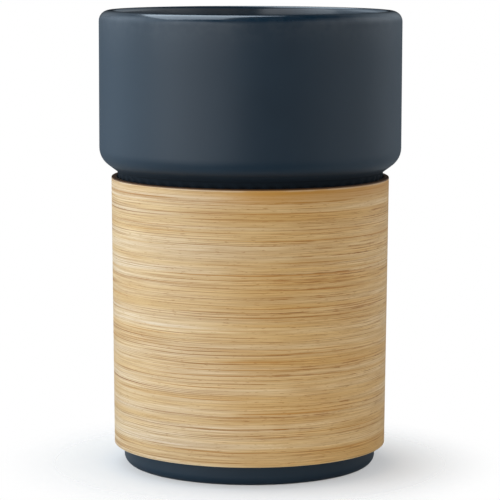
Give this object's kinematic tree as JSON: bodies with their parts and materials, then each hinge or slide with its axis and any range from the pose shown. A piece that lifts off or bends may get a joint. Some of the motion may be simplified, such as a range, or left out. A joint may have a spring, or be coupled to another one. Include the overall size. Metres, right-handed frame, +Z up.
{
  "type": "mug with bamboo sleeve",
  "caption": "Ceramic mug with a wide round-lipped upper band, a narrower ribbed lower body and a rolled bamboo sleeve that pulls off downwards; holds a hot drink.",
  "frame": {"origin": "centre of the foot ring, on the surface that the mug stands on", "axes": "+Z up along the mug's axis, +Y towards the sleeve's seam at the back"},
  "size_m": [0.0822, 0.0822, 0.124],
  "materials": {
    "glaze": "slate blue glaze, satin",
    "bamboo": "bamboo veneer, horizontal grain",
    "backing": "dark brown backing ply, matt"
  },
  "bodies": {
    "mug": {"mug_body": "glaze"},
    "sleeve": {"sleeve_veneer": "bamboo", "sleeve_backing": "backing"}
  },
  "joints": [
    {"name": "sleeve_slide", "type": "slide", "parent": "mug", "child": "sleeve", "axis": [0, 0, -1], "range_m": [0, 0.088]}
  ]
}
